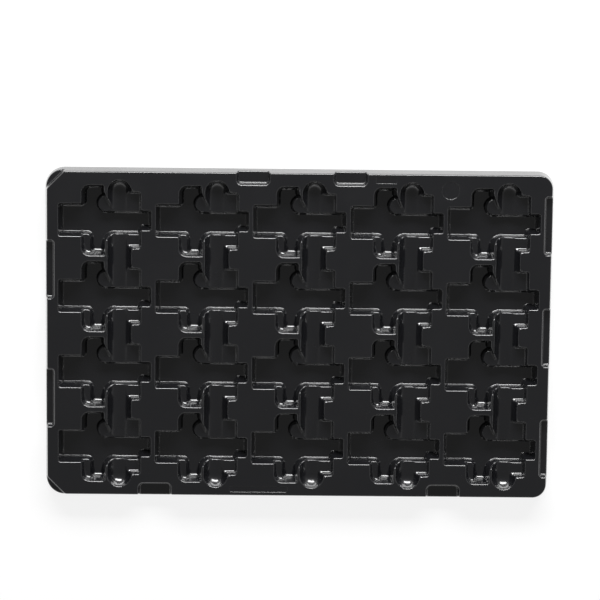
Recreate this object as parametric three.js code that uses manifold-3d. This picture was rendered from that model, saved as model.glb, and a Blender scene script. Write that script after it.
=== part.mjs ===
import * as THREE from 'three';
import { mergeVertices } from 'three/addons/utils/BufferGeometryUtils.js';
import Module from 'manifold-3d';

// Component tray, formed from one plastic sheet. Millimetres, +Z up, origin at the
// middle of the footprint on the surface that the tray stands on. X runs across the
// columns of pockets, Y along the rows towards the back edge. The sheet is divided
// where two neighbouring regions meet, one region for each pocket and for each rim.

const wasm = await Module();
wasm.setup();

// Sheet
const SHEET = 1.0; // thickness
const DRAFT = 0.19; // sideways run of a pocket wall for each millimetre of depth
const SKIRT_DRAFT = 0.175; // the same for the outer skirt

// Grid of pockets
const COLUMNS = 5;
const ROWS = 4;
const COLUMN_PITCH = 65;
const ROW_PITCH = 51;
const SIDE_RIM = 6; // deck between the outer columns' regions and the deck's edge
const END_RIM = 7; // the same beyond the first and last rows
const COLUMN_SHIFT = 0.5; // each pocket's centre point to the right of its region's
const ROW_SHIFT = 1.5; // and towards the back

// Levels below the deck
const POCKET_DEPTH = 12.1;
const STEP_DEPTH = 5.9; // shelves, edge notches and corner keys

// Pocket mouth at deck level, from the pocket's centre point
const COLUMN_WEB = 2.8; // deck left between the pockets of neighbouring columns
const ROW_WEB = 3.7; // and of neighbouring rows
const ARM_TOP = 9.7;
const ARM_BOTTOM = -12.2;
const TIP_TOP = 5.4;
const TIP_BOTTOM = -8;
const TIP_REACH = 8.2; // length of the narrow tip at the right-hand end
const TIP_RADIUS = 1.7;
const STEM_LEFT = -16.1;
const STEM_RADIUS = 5.5;
const STEM_WEB = 2.4; // deck left between the upper stem and the finger channel
const FOOT_WEB = 1.8; // the same beside the lower stem
const FOOT_RADIUS = 5.3; // bend from the lower stem into the right-hand arm
const STRIP_WIDTH = 4.5; // shelf to the left of the lower stem
const STRIP_RADIUS = 1.2;
const ISLAND_X = -0.2; // round ledge between the upper stem and the channel
const ISLAND_RADIUS = 4;
const ISLAND_SLOPE = 0.547; // rise of the ledge's upper flank for each millimetre across
const LEDGE_LEAN = 0.49; // lean of the ledge's far wall, across for each millimetre along
const LEDGE_TOP = 17.5; // where the leaning wall meets the upper stem
const LEDGE_INSET = 2; // how far a shelf's outline runs into the deeper hollow beside it

// Finger channels, one for each column
const CHANNEL_X = 9.3;
const CHANNEL_RADIUS = 7.8;
const CHANNEL_END = 5.4; // deck left between a channel's end and the deck's edge
const SHELF_REACH = 6.6; // right-hand shelf beyond the channel's edge
const SHELF_TOP_WEB = 6.4; // from the shelf's upper end to the pocket region's edge
const SHELF_BOTTOM_WEB = 6.8;

// Deck outline
const CORNER_RADIUS = 9;
const KEY_RADIUS = 11; // the two left-hand corners
const KEY_LEG = 11.7; // legs of their cut-back triangles

// Stacking notches in the four edges
const END_NOTCH = { width: 22.5, depth: 8, radius: 3.5 };
const SIDE_NOTCH = { width: 39.5, depth: 4.8, radius: 2.5 };
const NOTCH_SHIFT = 1.3; // end notches to the right of the lines between the columns
const BACK_NOTCH_COLUMNS = [-0.5, 0.5]; // in column pitches from the middle
const FRONT_NOTCH_COLUMNS = [-1.5, 1.5];
const LEFT_NOTCH_ROWS = [-0.85, 0.85]; // in row pitches from the middle
const RIGHT_NOTCH_ROWS = [-1.48, 0, 1.48];

// Fineness of the round stretches
const CORNER_STEPS = 3;
const CHANNEL_SIDES = 16;
const CHANNEL_CAP_STEPS = 3;

const SAME_PLACE = 1e-4; // points nearer than this are one point
const MARGIN = 1; // how far a cutting solid runs past the face that it opens
const REGION_CLEARANCE = 0.9; // deck between a channel's end and its region's end

const PLASTIC = { color: 0x1d1e22, roughness: 0.38, metalness: 0 };

const deckWidth = COLUMNS * COLUMN_PITCH + 2 * SIDE_RIM;
const deckLength = ROWS * ROW_PITCH + 2 * END_RIM;
const height = POCKET_DEPTH + SHEET;
const wallGrowth = SHEET * Math.hypot(1, DRAFT);
const skirtGrowth = SHEET * Math.hypot(1, SKIRT_DRAFT);

/**
 * A corner of an outline: its place and the radius that rounds it, 0 for a sharp one. One
 * that follows on starts its bend where the bend before it ends.
 */
function corner(x, y, radius = 0, followsOn = false) {
  return { x, y, radius, followsOn };
}

/**
 * Points of a rounded outline, anticlockwise, moved outwards by offset. Every offset of
 * one outline has the same number of points, so two of them can be joined by walls.
 */
function outlinePoints(corners, offset) {
  const points = [];
  corners.forEach((here, i) => {
    const before = corners.at(i - 1);
    const after = corners[(i + 1) % corners.length];
    const into = new THREE.Vector2(here.x - before.x, here.y - before.y).normalize();
    const out = new THREE.Vector2(after.x - here.x, after.y - here.y).normalize();
    const mitre = new THREE.Vector2(into.y + out.y, -into.x - out.x);
    const place = new THREE.Vector2(here.x, here.y);
    place.addScaledVector(mitre, offset / (1 + into.dot(out)));
    if (here.radius === 0) {
      points.push(place);
      return;
    }
    const turn = Math.atan2(into.cross(out), into.dot(out));
    const radius = Math.max(here.radius + offset * Math.sign(turn), 0.1);
    const tangent = radius * Math.tan(Math.abs(turn) / 2);
    const start = place.clone().addScaledVector(into, -tangent);
    const side = Math.sign(turn);
    const centre = start.clone().add(new THREE.Vector2(-into.y, into.x).multiplyScalar(side * radius));
    for (let step = here.followsOn ? 1 : 0; step <= CORNER_STEPS; step += 1) {
      points.push(start.clone().rotateAround(centre, (turn * step) / CORNER_STEPS));
    }
  });
  return points;
}

/** A solid of manifold-3d from a closed three.js geometry. */
function solidOf(geometry) {
  geometry.deleteAttribute('normal');
  geometry.deleteAttribute('uv');
  const merged = mergeVertices(geometry, SAME_PLACE);
  const mesh = new wasm.Mesh({
    numProp: 3,
    vertProperties: new Float32Array(merged.attributes.position.array),
    triVerts: new Uint32Array(merged.index.array),
  });
  return new wasm.Manifold(mesh);
}

/** A solid between two levels whose outline changes from one offset to another. */
function taperedSolid(corners, bottom, bottomOffset, top, topOffset) {
  const lower = outlinePoints(corners, bottomOffset);
  const upper = outlinePoints(corners, topOffset);
  const extrusion = { depth: top - bottom, bevelEnabled: false, steps: 1 };
  const geometry = new THREE.ExtrudeGeometry(new THREE.Shape(lower), extrusion);
  const position = geometry.attributes.position;
  for (let i = 0; i < position.count; i += 1) {
    const isUpper = position.getZ(i) > (top - bottom) / 2;
    position.setZ(i, isUpper ? top : bottom);
    if (isUpper) {
      const place = new THREE.Vector2(position.getX(i), position.getY(i));
      const distances = lower.map((point) => point.distanceToSquared(place));
      const moved = upper[distances.indexOf(Math.min(...distances))];
      position.setXY(i, moved.x, moved.y);
    }
  }
  return solidOf(geometry);
}

/**
 * A hollow pressed into the deck: the air above its floor, and the same grown by the
 * sheet's thickness, which is what the underside keeps clear of.
 */
function pressedHollow(corners, depth) {
  const floor = height - depth;
  const top = height + MARGIN;
  const level = (z) => (z - height) * DRAFT;
  const air = taperedSolid(corners, floor, level(floor), top, level(top));
  const below = depth === POCKET_DEPTH ? -MARGIN : floor - SHEET;
  const grown = taperedSolid(
    corners,
    below,
    level(below) + wallGrowth,
    top,
    level(top) + wallGrowth,
  );
  return { air, grown };
}

/** Outline of the deep, cross-shaped pocket round its centre point. */
function pocketCorners(cell) {
  const stemRight = CHANNEL_X - CHANNEL_RADIUS - STEM_WEB;
  const footRight = CHANNEL_X - CHANNEL_RADIUS - FOOT_WEB;
  const footLeft = STEM_LEFT + STRIP_WIDTH;
  const tipStart = cell.right - TIP_REACH;
  const islandLeft = ISLAND_X - ISLAND_RADIUS;
  const flankTurn = Math.atan2(1, ISLAND_SLOPE);
  const islandShoulder = TIP_TOP + ISLAND_RADIUS * (1 + Math.tan(flankTurn / 2));
  const islandCrest = islandShoulder + (stemRight - islandLeft) * ISLAND_SLOPE;
  return [
    corner(cell.left, ARM_BOTTOM),
    corner(footLeft, ARM_BOTTOM, STRIP_RADIUS),
    corner(footLeft, cell.bottom),
    corner(footRight, cell.bottom),
    corner(footRight, ARM_BOTTOM, FOOT_RADIUS),
    corner(tipStart, ARM_BOTTOM),
    corner(tipStart, TIP_BOTTOM, TIP_RADIUS),
    corner(cell.right, TIP_BOTTOM),
    corner(cell.right, TIP_TOP),
    corner(islandLeft, TIP_TOP, ISLAND_RADIUS),
    corner(islandLeft, islandShoulder, ISLAND_RADIUS, true),
    corner(stemRight, islandCrest),
    corner(stemRight, cell.top),
    corner(STEM_LEFT, cell.top, STEM_RADIUS),
    corner(STEM_LEFT, ARM_TOP),
    corner(cell.left, ARM_TOP),
  ];
}

/** Outline of the round ledge: its far wall leans across the web beside the channel. */
function ledgeCorners() {
  const webEdge = CHANNEL_X - CHANNEL_RADIUS - STEM_WEB;
  const far = LEDGE_TOP - LEDGE_INSET;
  const lean = (y) => webEdge + (LEDGE_TOP - y) * LEDGE_LEAN;
  const left = ISLAND_X - ISLAND_RADIUS - STEP_DEPTH * DRAFT - LEDGE_INSET;
  const near = TIP_TOP - LEDGE_INSET;
  return [corner(left, near), corner(lean(near), near), corner(lean(far), far), corner(left, far)];
}

/** Outline of the shelf to the right of the finger channel, which it opens into. */
function shelfCorners(cell) {
  const right = CHANNEL_X + CHANNEL_RADIUS + SHELF_REACH;
  const bottom = cell.edgeBottom + SHELF_BOTTOM_WEB;
  const top = cell.edgeTop - SHELF_TOP_WEB;
  return [
    corner(CHANNEL_X, bottom),
    corner(right, bottom),
    corner(right, top),
    corner(CHANNEL_X, top),
  ];
}

/** Outline of the shelf to the left of the lower stem, open to the stem and the arm. */
function stripCorners(cell) {
  const right = CHANNEL_X - CHANNEL_RADIUS - FOOT_WEB - LEDGE_INSET;
  const top = ARM_BOTTOM + LEDGE_INSET;
  return [
    corner(STEM_LEFT, cell.bottom, STEM_RADIUS),
    corner(right, cell.bottom),
    corner(right, top),
    corner(STEM_LEFT, top),
  ];
}

/** The sides of one pocket's region and of the pocket's mouth, from its centre point. */
function cellSides() {
  const edgeLeft = -COLUMN_PITCH / 2 - COLUMN_SHIFT;
  const edgeBottom = -ROW_PITCH / 2 - ROW_SHIFT;
  return {
    edgeBottom,
    edgeTop: edgeBottom + ROW_PITCH,
    left: edgeLeft + COLUMN_WEB / 2,
    right: edgeLeft + COLUMN_PITCH - COLUMN_WEB / 2,
    bottom: edgeBottom + ROW_WEB / 2,
    top: edgeBottom + ROW_PITCH - ROW_WEB / 2,
  };
}

/** Moves both solids of a hollow. */
function movedHollow(hollow, x, y) {
  return { air: hollow.air.translate([x, y, 0]), grown: hollow.grown.translate([x, y, 0]) };
}

/** Finger channel of one column: half round, with ball-shaped ends. */
function channelHollow() {
  const grownBy = (growth) => {
    const radius = CHANNEL_RADIUS + growth;
    const length = deckLength - 2 * (CHANNEL_END + CHANNEL_RADIUS);
    const geometry = new THREE.CapsuleGeometry(radius, length, CHANNEL_CAP_STEPS, CHANNEL_SIDES, 1);
    geometry.translate(0, 0, height);
    return solidOf(geometry);
  };
  return { air: grownBy(0), grown: grownBy(SHEET) };
}

/** Notch in a straight edge, whose middle is at the origin with the outside towards +Y. */
function edgeNotch(size) {
  const half = size.width / 2;
  const outside = 4 * height * SKIRT_DRAFT;
  const corners = [
    corner(-half, -size.depth, size.radius),
    corner(half, -size.depth, size.radius),
    corner(half, outside),
    corner(-half, outside),
  ];
  return (turn) => {
    const turned = corners.map(({ x, y, radius }) => {
      const place = new THREE.Vector2(x, y).rotateAround(new THREE.Vector2(), turn);
      return corner(place.x, place.y, radius);
    });
    return pressedHollow(turned, STEP_DEPTH);
  };
}

/** Step that cuts a deck corner back to a straight line, at the corner of the deck. */
function keyHollow(towardsBack) {
  const out = 4 * height * SKIRT_DRAFT;
  const side = towardsBack ? 1 : -1;
  const corners = [
    corner(-out, -side * (KEY_LEG + out)),
    corner(KEY_LEG + out, side * out),
    corner(-out, side * out),
  ];
  return pressedHollow(towardsBack ? corners : corners.reverse(), STEP_DEPTH);
}

/** Every hollow of the tray, in place. */
function allHollows() {
  const cell = cellSides();
  const pocket = pressedHollow(pocketCorners(cell), POCKET_DEPTH);
  const ledge = pressedHollow(ledgeCorners(), STEP_DEPTH);
  const shelf = pressedHollow(shelfCorners(cell), STEP_DEPTH);
  const strip = pressedHollow(stripCorners(cell), STEP_DEPTH);
  const channel = channelHollow();
  const hollows = [];
  for (let column = 0; column < COLUMNS; column += 1) {
    const x = columnCentre(column);
    hollows.push(movedHollow(channel, x + CHANNEL_X, 0));
    for (let row = 0; row < ROWS; row += 1) {
      const y = rowCentre(row);
      [pocket, ledge, shelf, strip].forEach((hollow) => hollows.push(movedHollow(hollow, x, y)));
    }
  }
  const endNotch = edgeNotch(END_NOTCH);
  const sideNotch = edgeNotch(SIDE_NOTCH);
  const endX = (columns) => columns * COLUMN_PITCH + NOTCH_SHIFT;
  BACK_NOTCH_COLUMNS.forEach((columns) => {
    hollows.push(movedHollow(endNotch(0), endX(columns), deckLength / 2));
  });
  FRONT_NOTCH_COLUMNS.forEach((columns) => {
    hollows.push(movedHollow(endNotch(Math.PI), endX(columns), -deckLength / 2));
  });
  LEFT_NOTCH_ROWS.forEach((rows) => {
    hollows.push(movedHollow(sideNotch(Math.PI / 2), -deckWidth / 2, rows * ROW_PITCH));
  });
  RIGHT_NOTCH_ROWS.forEach((rows) => {
    hollows.push(movedHollow(sideNotch(-Math.PI / 2), deckWidth / 2, rows * ROW_PITCH));
  });
  hollows.push(movedHollow(keyHollow(true), -deckWidth / 2, deckLength / 2));
  hollows.push(movedHollow(keyHollow(false), -deckWidth / 2, -deckLength / 2));
  return hollows;
}

/** Centre point of a column's pockets; the first column is the left-hand one. */
function columnCentre(column) {
  return (column - (COLUMNS - 1) / 2) * COLUMN_PITCH + COLUMN_SHIFT;
}

/** Centre point of a row's pockets; the first row is the one at the back. */
function rowCentre(row) {
  return ((ROWS - 1) / 2 - row) * ROW_PITCH + ROW_SHIFT;
}

/** The block that the sheet is draped over: its outside, and the hollow under the sheet. */
function drapedBlock() {
  const x = deckWidth / 2;
  const y = deckLength / 2;
  const corners = [
    corner(-x, -y, KEY_RADIUS),
    corner(x, -y, CORNER_RADIUS),
    corner(x, y, CORNER_RADIUS),
    corner(-x, y, KEY_RADIUS),
  ];
  const flare = (z) => (height - z) * SKIRT_DRAFT;
  const top = height - SHEET;
  return {
    outside: taperedSolid(corners, 0, flare(0), height, 0),
    inside: taperedSolid(
      corners,
      -MARGIN,
      flare(-MARGIN) - skirtGrowth,
      top,
      flare(top) - skirtGrowth,
    ),
  };
}

/** A box between two corners, as a solid. */
function boxSolid([x0, y0], [x1, y1]) {
  const geometry = new THREE.BoxGeometry(x1 - x0, y1 - y0, 4 * height);
  geometry.translate((x0 + x1) / 2, (y0 + y1) / 2, height / 2);
  return solidOf(geometry);
}

/** Whether a solid's box reaches into the box between two corners. */
function reaches(solid, [x0, y0], [x1, y1]) {
  const { min, max } = solid.boundingBox();
  return min[0] < x1 && max[0] > x0 && min[1] < y1 && max[1] > y0;
}

/** The part of the formed sheet that lies between two corners. */
function sheetRegion(block, hollows, from, to) {
  const wideFrom = from.map((value) => value - MARGIN);
  const wideTo = to.map((value) => value + MARGIN);
  let outside = block.outside.intersect(boxSolid(from, to));
  let inside = block.inside.intersect(boxSolid(wideFrom, wideTo));
  hollows.forEach((hollow) => {
    if (reaches(hollow.grown, wideFrom, wideTo)) {
      outside = outside.subtract(hollow.air);
      inside = inside.subtract(hollow.grown);
    }
  });
  return outside.subtract(inside);
}

/** A three.js mesh of a solid. */
function meshOf(name, solid, finish) {
  const { vertProperties, triVerts } = solid.getMesh();
  const geometry = new THREE.BufferGeometry();
  geometry.setAttribute('position', new THREE.BufferAttribute(vertProperties, 3));
  geometry.setIndex(new THREE.BufferAttribute(triVerts, 1));
  const material = new THREE.MeshStandardMaterial(finish);
  const mesh = new THREE.Mesh(geometry, material);
  mesh.name = name;
  return mesh;
}

/** Names and limits of the regions: one for each pocket, and the four rims round them. */
function regionLimits() {
  const gridX = (COLUMNS * COLUMN_PITCH) / 2;
  const gridY = (ROWS * ROW_PITCH) / 2;
  const endY = deckLength / 2 - CHANNEL_END + SHEET + REGION_CLEARANCE;
  const farX = deckWidth;
  const farY = deckLength;
  const regions = [];
  for (let row = 0; row < ROWS; row += 1) {
    for (let column = 0; column < COLUMNS; column += 1) {
      const left = column * COLUMN_PITCH - gridX;
      const top = row === 0 ? endY : gridY - row * ROW_PITCH;
      const bottom = row === ROWS - 1 ? -endY : gridY - (row + 1) * ROW_PITCH;
      const name = `pocket_r${row + 1}_c${column + 1}`;
      regions.push({ name, from: [left, bottom], to: [left + COLUMN_PITCH, top] });
    }
  }
  regions.push({ name: 'rim_left', from: [-farX, -farY], to: [-gridX, farY] });
  regions.push({ name: 'rim_right', from: [gridX, -farY], to: [farX, farY] });
  regions.push({ name: 'rim_back', from: [-gridX, endY], to: [gridX, farY] });
  regions.push({ name: 'rim_front', from: [-gridX, -farY], to: [gridX, -endY] });
  return regions;
}

/** The whole tray. */
function buildTray() {
  const tray = new THREE.Group();
  const block = drapedBlock();
  const hollows = allHollows();
  regionLimits().forEach(({ name, from, to }) => {
    tray.add(meshOf(name, sheetRegion(block, hollows, from, to), PLASTIC));
  });
  return tray;
}

export default buildTray();
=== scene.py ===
"""Looks of the component tray: one sheet of black plastic, formed over a mould.

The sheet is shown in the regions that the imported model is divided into. The upper side
and the underside of a region are height fields, worked out from the hollows that the
mould presses into the deck. They are meshed along their own contour lines, so that each
bend keeps its rounding, since no mesh operator gives the blended bends of a drawn sheet.
Lengths in the field are millimetres, and meshes are in metres.
"""

import logging
import math
from collections import defaultdict
from dataclasses import dataclass, field
from enum import Enum
from typing import Optional, Sequence

import bmesh
import bpy
import numpy as np
from mathutils import Matrix, Vector
from mathutils.geometry import delaunay_2d_cdt


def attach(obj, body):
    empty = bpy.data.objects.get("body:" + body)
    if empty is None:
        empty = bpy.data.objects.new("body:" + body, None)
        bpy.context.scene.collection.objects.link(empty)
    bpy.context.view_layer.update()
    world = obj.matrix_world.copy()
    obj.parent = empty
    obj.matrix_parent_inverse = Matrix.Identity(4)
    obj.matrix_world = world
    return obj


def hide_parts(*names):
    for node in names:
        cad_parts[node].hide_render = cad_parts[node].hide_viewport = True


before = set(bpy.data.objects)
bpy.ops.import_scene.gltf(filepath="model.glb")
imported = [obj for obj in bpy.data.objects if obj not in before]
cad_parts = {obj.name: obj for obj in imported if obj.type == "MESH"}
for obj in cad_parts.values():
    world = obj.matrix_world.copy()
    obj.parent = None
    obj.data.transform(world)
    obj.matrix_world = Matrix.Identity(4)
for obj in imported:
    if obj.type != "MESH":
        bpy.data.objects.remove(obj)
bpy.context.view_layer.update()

LOG = logging.getLogger("tray")
MM = 0.001
TINY = 1e-9
SAME_PLACE = 1e-6


# ------------------------------------------------------------------ sizes


@dataclass(frozen=True)
class SheetSizes:
    """The formed sheet, in millimetres.

    Attributes:
        thickness: Thickness of the sheet.
        draft: Sideways run of a pocket wall for each millimetre of depth.
        skirt_draft: The same for the outer skirt.
        pocket_depth: Depth of the pocket floors below the deck.
        step_depth: Depth of the shelves, notches and corner keys.
    """

    thickness: float = 1.0
    draft: float = 0.19
    skirt_draft: float = 0.175
    pocket_depth: float = 12.1
    step_depth: float = 5.9

    @property
    def height(self) -> float:
        """Height of the deck above the surface that the tray stands on."""
        return self.pocket_depth + self.thickness


@dataclass(frozen=True)
class PocketSizes:
    """Plan of one pocket at deck level, from its own centre point, in millimetres.

    The arm runs along X, with the tip at its right end. The stem and the foot run along Y.
    The shelf is shallower, as is the island beside the stem.

    Attributes:
        island_slope: Rise of the island's far flank for each millimetre along X.
        ledge_lean: Run along X of the ledge's edge for each millimetre along Y.
        shelf_inset: How far the shelf's left end lies inside the channel.
        ledge_rise: How far past the tip's upper edge the ledge begins.
        tip_reach: How far into the tip the floor keeps its own edge.
        floor_margin: How far the floor's outline clears the mouth where that bounds it.
        floor_foot_radius: Radius of the floor where the arm meets the foot.
        floor_arm_radius: Radius of the floor's bend from the arm towards the tip.
        floor_tip_radius: Radius of its bend into the tip.
        floor_end_radius: Radius where it leaves the tip.
        full_round: Share of a radius that leaves a sliver of line between two bends.
    """

    left: float = -31.6
    right: float = 30.6
    bottom: float = -25.15
    top: float = 22.15
    arm_top: float = 9.7
    arm_bottom: float = -12.2
    tip_top: float = 5.4
    tip_bottom: float = -8.0
    tip_start: float = 23.7
    stem_left: float = -16.1
    stem_right: float = -0.9
    stem_radius: float = 5.5
    foot_left: float = -11.6
    foot_right: float = -0.3
    foot_radius: float = 5.3
    island_x: float = -0.2
    island_radius: float = 4.0
    island_slope: float = 0.547
    ledge_top: float = 17.5
    ledge_lean: float = 0.49
    shelf_right: float = 23.7
    shelf_bottom: float = -20.2
    shelf_top: float = 17.6
    shelf_inset: float = 0.85
    ledge_rise: float = 1.5
    tip_reach: float = 1.9
    floor_margin: float = 6.0
    floor_foot_radius: float = 1.2
    floor_arm_radius: float = 2.6
    floor_tip_radius: float = 1.59
    floor_end_radius: float = 0.3
    full_round: float = 0.999
    corner_radius: float = 1.7
    bend_radius: float = 0.9


@dataclass(frozen=True)
class ChannelSizes:
    """Finger channel of one column, in millimetres."""

    offset_x: float = 9.3
    radius: float = 7.8
    half_length: float = 95.8


@dataclass(frozen=True)
class DeckSizes:
    """Outline of the deck and the steps in its edge, in millimetres."""

    half_width: float = 168.5
    half_length: float = 109.0
    corner_radius: float = 9.0
    key_radius: float = 11.0
    key_leg: float = 11.7
    end_notch_width: float = 22.5
    end_notch_depth: float = 8.0
    end_notch_radius: float = 3.5
    side_notch_width: float = 39.5
    side_notch_depth: float = 4.8
    side_notch_radius: float = 2.5
    notch_shift: float = 1.3
    notch_reach: float = 12.0
    back_notch_columns: tuple[float, ...] = (-0.5, 0.5)
    front_notch_columns: tuple[float, ...] = (-1.5, 1.5)
    left_notch_rows: tuple[float, ...] = (-0.85, 0.85)
    right_notch_rows: tuple[float, ...] = (-1.48, 0.0, 1.48)


@dataclass(frozen=True)
class Softening:
    """Where the sheet bends less sharply than elsewhere, in millimetres.

    Attributes:
        crest: Extra edge rounding on a narrow crest beside the channel.
        crest_reach: How narrow the crest must be to be softer at all.
        crest_fade: How much narrower it must be to be fully softer.
        end: Extra floor rounding at the end of the pocket's foot.
        end_start: Place along Y where that begins, from the pocket's centre point.
        end_fade: Length over which it grows.
    """

    crest: float = 0.7
    crest_reach: float = 3.4
    crest_fade: float = 1.4
    end: float = 1.5
    end_start: float = -16.5
    end_fade: float = 4.0


@dataclass(frozen=True)
class PadSizes:
    """A blank pad pressed a little into the deck, in millimetres."""

    x: float
    y: float
    width: float
    length: float
    radius: float


@dataclass(frozen=True)
class PadSet:
    """The blank pads in the deck and how they are pressed in, in millimetres."""

    depth: float = 0.4
    draft: float = 0.3
    rounding: float = 0.12
    levels: tuple[float, ...] = (0.03, 0.08, 0.15, 0.25, 0.32, 0.37, 0.395)
    pads: tuple[PadSizes, ...] = (
        PadSizes(57.5, 104.9, 14.0, 4.4, 1.0),
        PadSizes(100.5, 98.5, 12.0, 12.0, 5.9),
        PadSizes(-26.0, -104.9, 39.0, 4.0, 1.0),
    )


@dataclass(frozen=True)
class GridSizes:
    """How the pockets are laid out over the deck, in millimetres."""

    columns: int = 5
    rows: int = 4
    column_pitch: float = 65.0
    row_pitch: float = 51.0
    column_shift: float = 0.5
    row_shift: float = 1.5
    end_limit: float = 105.5

    def centre(self, row: int, column: int) -> tuple[float, float]:
        """Centre point of a pocket.

        Args:
            row: The pocket's row, from 1 at the back.
            column: The pocket's column, from 1 at the left.

        Returns:
            Its place in X and Y.
        """
        x = (column - (self.columns + 1) / 2) * self.column_pitch + self.column_shift
        y = ((self.rows + 1) / 2 - row) * self.row_pitch + self.row_shift
        return x, y


SHEET = SheetSizes()
POCKET = PocketSizes()
CHANNEL = ChannelSizes()
DECK = DeckSizes()
GRID = GridSizes()
PADS = PadSet()
SOFTENING = Softening()


# ------------------------------------------------------------------ outlines


@dataclass(frozen=True)
class Corner:
    """A corner of an outline and the radius that rounds it, in millimetres."""

    x: float
    y: float
    radius: float = 0.02


class Outline:
    """A closed outline, anticlockwise, of straight lines and round corners."""

    def __init__(self, corners: Sequence[Corner]) -> None:
        """Works out the lines and bends.

        Args:
            corners: The corners in order.
        """
        places = [np.array([corner.x, corner.y]) for corner in corners]
        self.lines: list[tuple[np.ndarray, np.ndarray]] = []
        self.bends: list[tuple[np.ndarray, float, float, np.ndarray, float]] = []
        starts, ends = [], []
        for i, corner in enumerate(corners):
            into = places[i] - places[i - 1]
            out = places[(i + 1) % len(places)] - places[i]
            into = into / np.linalg.norm(into)
            out = out / np.linalg.norm(out)
            turn = math.atan2(into[0] * out[1] - into[1] * out[0], float(into @ out))
            side = math.copysign(1.0, turn)
            tangent = corner.radius * math.tan(abs(turn) / 2)
            start = places[i] - into * tangent
            centre = start + side * corner.radius * np.array([-into[1], into[0]])
            middle = (places[i] - centre) / np.linalg.norm(places[i] - centre)
            self.bends.append((centre, corner.radius, side, middle, math.cos(turn / 2)))
            starts.append(start)
            ends.append(places[i] + out * tangent)
        for i, end in enumerate(ends):
            self.lines.append((end, starts[(i + 1) % len(starts)]))

    def inside(self, x: np.ndarray, y: np.ndarray) -> np.ndarray:
        """Distance of each point from the outline.

        Args:
            x: Places of the points along X.
            y: Places along Y.

        Returns:
            Distances, above 0 inside the outline and below 0 outside.
        """
        best = np.full(np.shape(x), np.inf)
        signed = np.zeros(np.shape(x))
        for start, end in self.lines:
            run = end - start
            length = float(np.linalg.norm(run))
            if length < SAME_PLACE:
                continue
            run = run / length
            along = np.clip((x - start[0]) * run[0] + (y - start[1]) * run[1], 0, length)
            away_x = x - start[0] - along * run[0]
            away_y = y - start[1] - along * run[1]
            distance = np.hypot(away_x, away_y)
            side = np.sign(run[0] * away_y - run[1] * away_x)
            nearer = distance < best
            best = np.where(nearer, distance, best)
            signed = np.where(nearer, side * distance, signed)
        for centre, radius, side, middle, reach in self.bends:
            away_x = x - centre[0]
            away_y = y - centre[1]
            out = np.hypot(away_x, away_y)
            facing = away_x * middle[0] + away_y * middle[1] >= reach * out
            distance = np.abs(radius - out)
            nearer = facing & (distance < best)
            best = np.where(nearer, distance, best)
            signed = np.where(nearer, side * (radius - out), signed)
        return signed


def mouth_outline() -> Outline:
    """Outline of all that opens at deck level round one pocket, but its channel.

    Returns:
        The outline, from the pocket's centre point.
    """
    p = POCKET
    step_reach = math.sqrt(CHANNEL.radius**2 - SHEET.step_depth**2)
    shelf_left = CHANNEL.offset_x - step_reach + p.shelf_inset
    near = p.tip_top + p.ledge_rise
    ledge_x = p.stem_right + (p.ledge_top - near) * p.ledge_lean
    return Outline(
        [
            Corner(p.left, p.arm_bottom, p.corner_radius),
            Corner(p.stem_left, p.arm_bottom, p.bend_radius),
            Corner(p.stem_left, p.bottom, p.stem_radius),
            Corner(p.foot_right, p.bottom, p.corner_radius),
            Corner(p.foot_right, p.arm_bottom, p.foot_radius),
            Corner(shelf_left, p.arm_bottom),
            Corner(shelf_left, p.shelf_bottom),
            Corner(p.shelf_right, p.shelf_bottom, p.corner_radius),
            Corner(p.shelf_right, p.tip_bottom, p.bend_radius),
            Corner(p.right, p.tip_bottom, p.corner_radius),
            Corner(p.right, p.tip_top, p.corner_radius),
            Corner(p.shelf_right, p.tip_top, p.bend_radius),
            Corner(p.shelf_right, p.shelf_top, p.corner_radius),
            Corner(CHANNEL.offset_x, p.shelf_top),
            Corner(CHANNEL.offset_x, near),
            Corner(ledge_x, near),
            Corner(p.stem_right, p.ledge_top, p.bend_radius),
            Corner(p.stem_right, p.top, p.corner_radius),
            Corner(p.stem_left, p.top, p.stem_radius),
            Corner(p.stem_left, p.arm_top, p.bend_radius),
            Corner(p.left, p.arm_top, p.corner_radius),
        ]
    )


def floor_outline() -> Outline:
    """Outline of one pocket's deep floor, carried up to deck level.

    Where the mouth's own wall bounds the floor, this outline lies well outside it.

    Returns:
        The outline, from the pocket's centre point.
    """
    p = POCKET
    out = p.floor_margin
    island_left = p.island_x - p.island_radius
    flank_turn = math.atan2(1, p.island_slope)
    shoulder = p.tip_top + p.island_radius * (1 + math.tan(flank_turn / 2))
    crest = shoulder + (p.stem_right + out - island_left) * p.island_slope
    foot_end = p.foot_right + p.foot_radius
    tip_corner = p.shelf_right + p.tip_reach
    island_round = p.island_radius * p.full_round
    return Outline(
        [
            Corner(p.left - out, p.arm_bottom - out),
            Corner(p.stem_left - out, p.arm_bottom - out),
            Corner(p.stem_left, p.arm_bottom),
            Corner(p.foot_left, p.arm_bottom, p.floor_foot_radius),
            Corner(p.foot_left, p.bottom - out),
            Corner(foot_end, p.bottom - out),
            Corner(foot_end, p.arm_bottom),
            Corner(p.tip_start, p.arm_bottom, p.floor_arm_radius),
            Corner(p.tip_start, p.tip_bottom, p.floor_tip_radius),
            Corner(tip_corner, p.tip_bottom, p.floor_end_radius),
            Corner(tip_corner + out / 2, p.tip_bottom - out),
            Corner(p.right + out, p.tip_bottom - out),
            Corner(p.right + out, p.tip_top + out),
            Corner(tip_corner + out / 2, p.tip_top + out),
            Corner(tip_corner, p.tip_top),
            Corner(island_left, p.tip_top, island_round),
            Corner(island_left, shoulder, island_round),
            Corner(p.stem_right + out, crest),
            Corner(p.stem_right + out, p.top + out),
            Corner(p.left - out, p.top + out),
        ]
    )


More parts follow.
